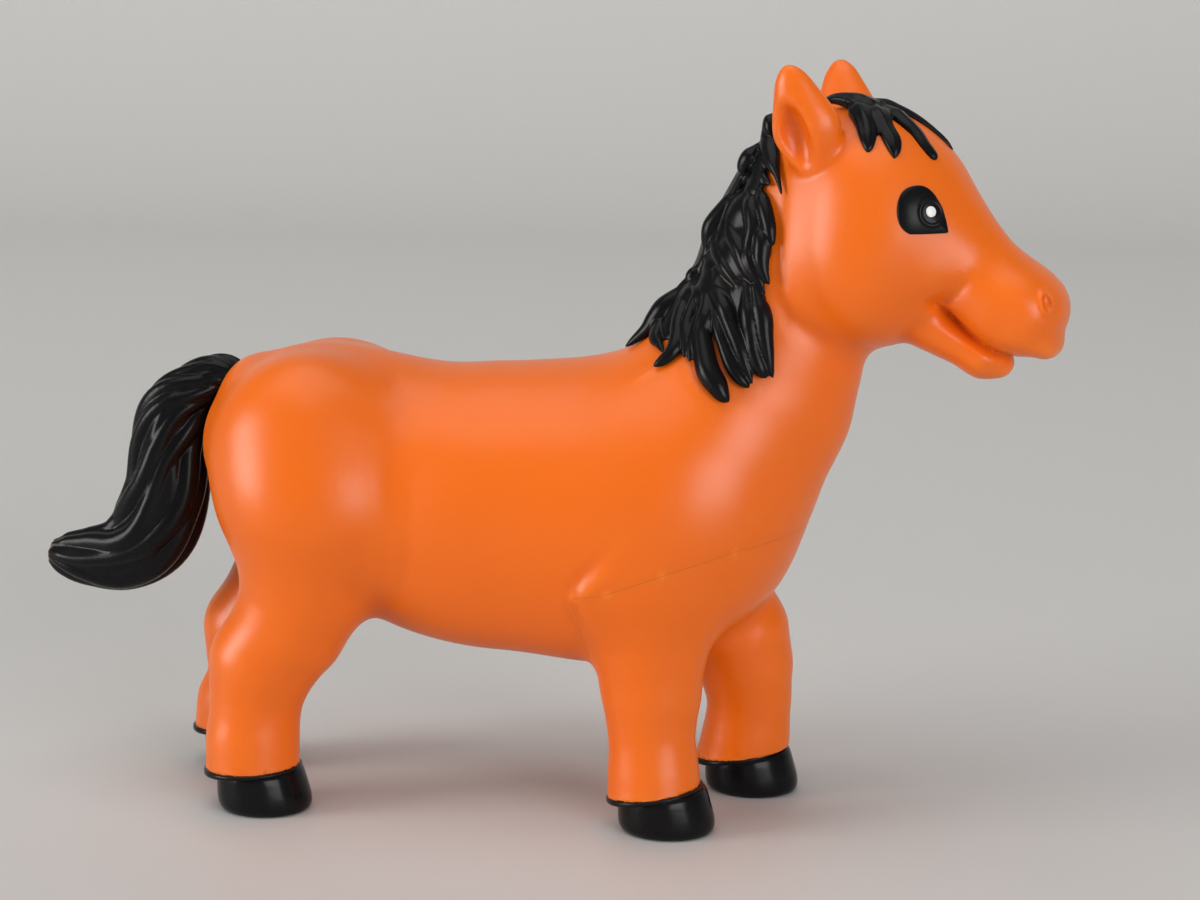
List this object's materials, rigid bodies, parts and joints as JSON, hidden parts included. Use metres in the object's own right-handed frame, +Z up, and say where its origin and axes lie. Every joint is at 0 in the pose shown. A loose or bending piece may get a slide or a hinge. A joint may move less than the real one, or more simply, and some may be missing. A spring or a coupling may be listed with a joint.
{
  "type": "toy horse figure",
  "caption": "Small hollow soft vinyl toy horse standing in a walking stance, orange with black mane, forelock, hooves and eyes, and a plug-in tail that swivels.",
  "frame": {"origin": "middle of the figure's box, on the ground under the hooves", "axes": "+X forward towards the nose, +Y towards the horse's left side, +Z up"},
  "size_m": [0.1692, 0.0472, 0.1216],
  "materials": {
    "orange_vinyl": "satin orange soft vinyl",
    "black_hair": "semi-gloss black paint on raised locks of hair",
    "black_hoof": "gloss black paint",
    "eye_black": "gloss black paint",
    "eye_white": "white paint dot"
  },
  "bodies": {
    "horse": {"body_shell": "orange_vinyl", "forehand_shell": "orange_vinyl", "mane": "black_hair", "forelock": "black_hair", "forehoof_right": "black_hoof", "forehoof_left": "black_hoof", "hindhoof_right": "black_hoof", "hindhoof_left": "black_hoof", "eye_right": "eye_black", "eye_left": "eye_black", "eye_glint_right": "eye_white", "eye_glint_left": "eye_white"},
    "tail": {"tail": "black_hair"}
  },
  "joints": [
    {"name": "tail_swivel", "type": "hinge", "parent": "horse", "child": "tail", "pos_m": [-0.05128, -0.00005, 0.06951], "axis": [-0.8601, 0, 0.5101], "range_deg": [-20, 20]}
  ]
}
